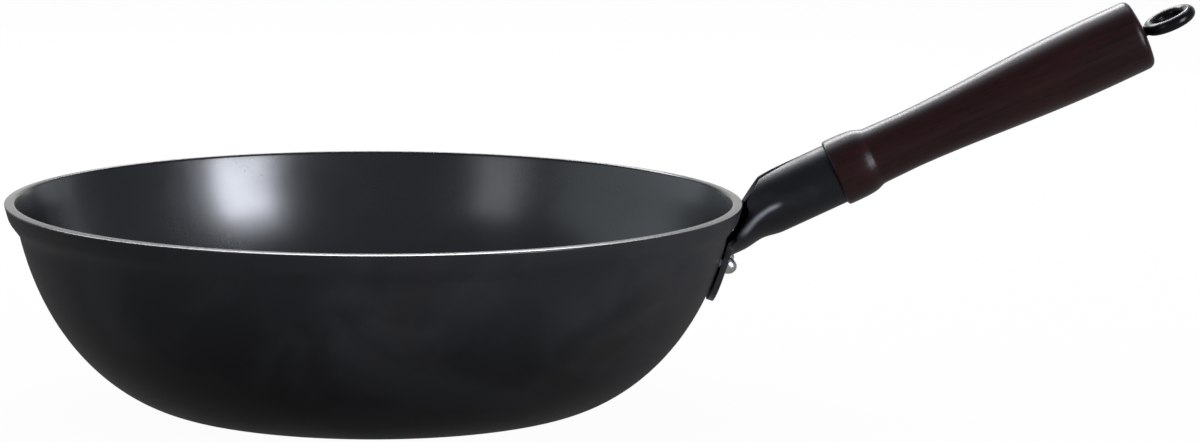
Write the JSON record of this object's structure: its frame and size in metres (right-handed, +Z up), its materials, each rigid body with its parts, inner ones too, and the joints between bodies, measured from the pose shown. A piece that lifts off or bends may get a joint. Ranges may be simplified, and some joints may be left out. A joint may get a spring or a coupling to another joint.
{
  "type": "cast iron wok",
  "caption": "Flat-bottomed cast iron wok with a thickened rim and one raised handle: a riveted sheet-metal socket, a turned wooden grip and a hanging eye on a through bolt.",
  "frame": {"origin": "centre of the flat base's underside, on the bowl's axis", "axes": "+Z up along the bowl's axis; +X level, from the bowl towards the handle; +Y across the handle"},
  "size_m": [0.515, 0.32, 0.1759],
  "materials": {
    "iron": "smooth dark coating, satin",
    "black_sheet": "black, satin",
    "steel": "bright",
    "wood": "dark stain, varnished",
    "black_wire": "black, gloss"
  },
  "bodies": {
    "pan": {"wok_bowl": "iron", "handle_bracket": "black_sheet", "rivet_near": "steel", "rivet_far": "steel", "socket_nut": "steel", "grip": "wood"},
    "eye": {"eye_bolt": "black_wire"}
  },
  "joints": [
    {"name": "eye_turn", "type": "hinge", "parent": "pan", "child": "eye", "pos_m": [0.19982, 0, 0.09999], "axis": [0.9033, 0, 0.4289], "range_deg": [-90, 90]}
  ]
}
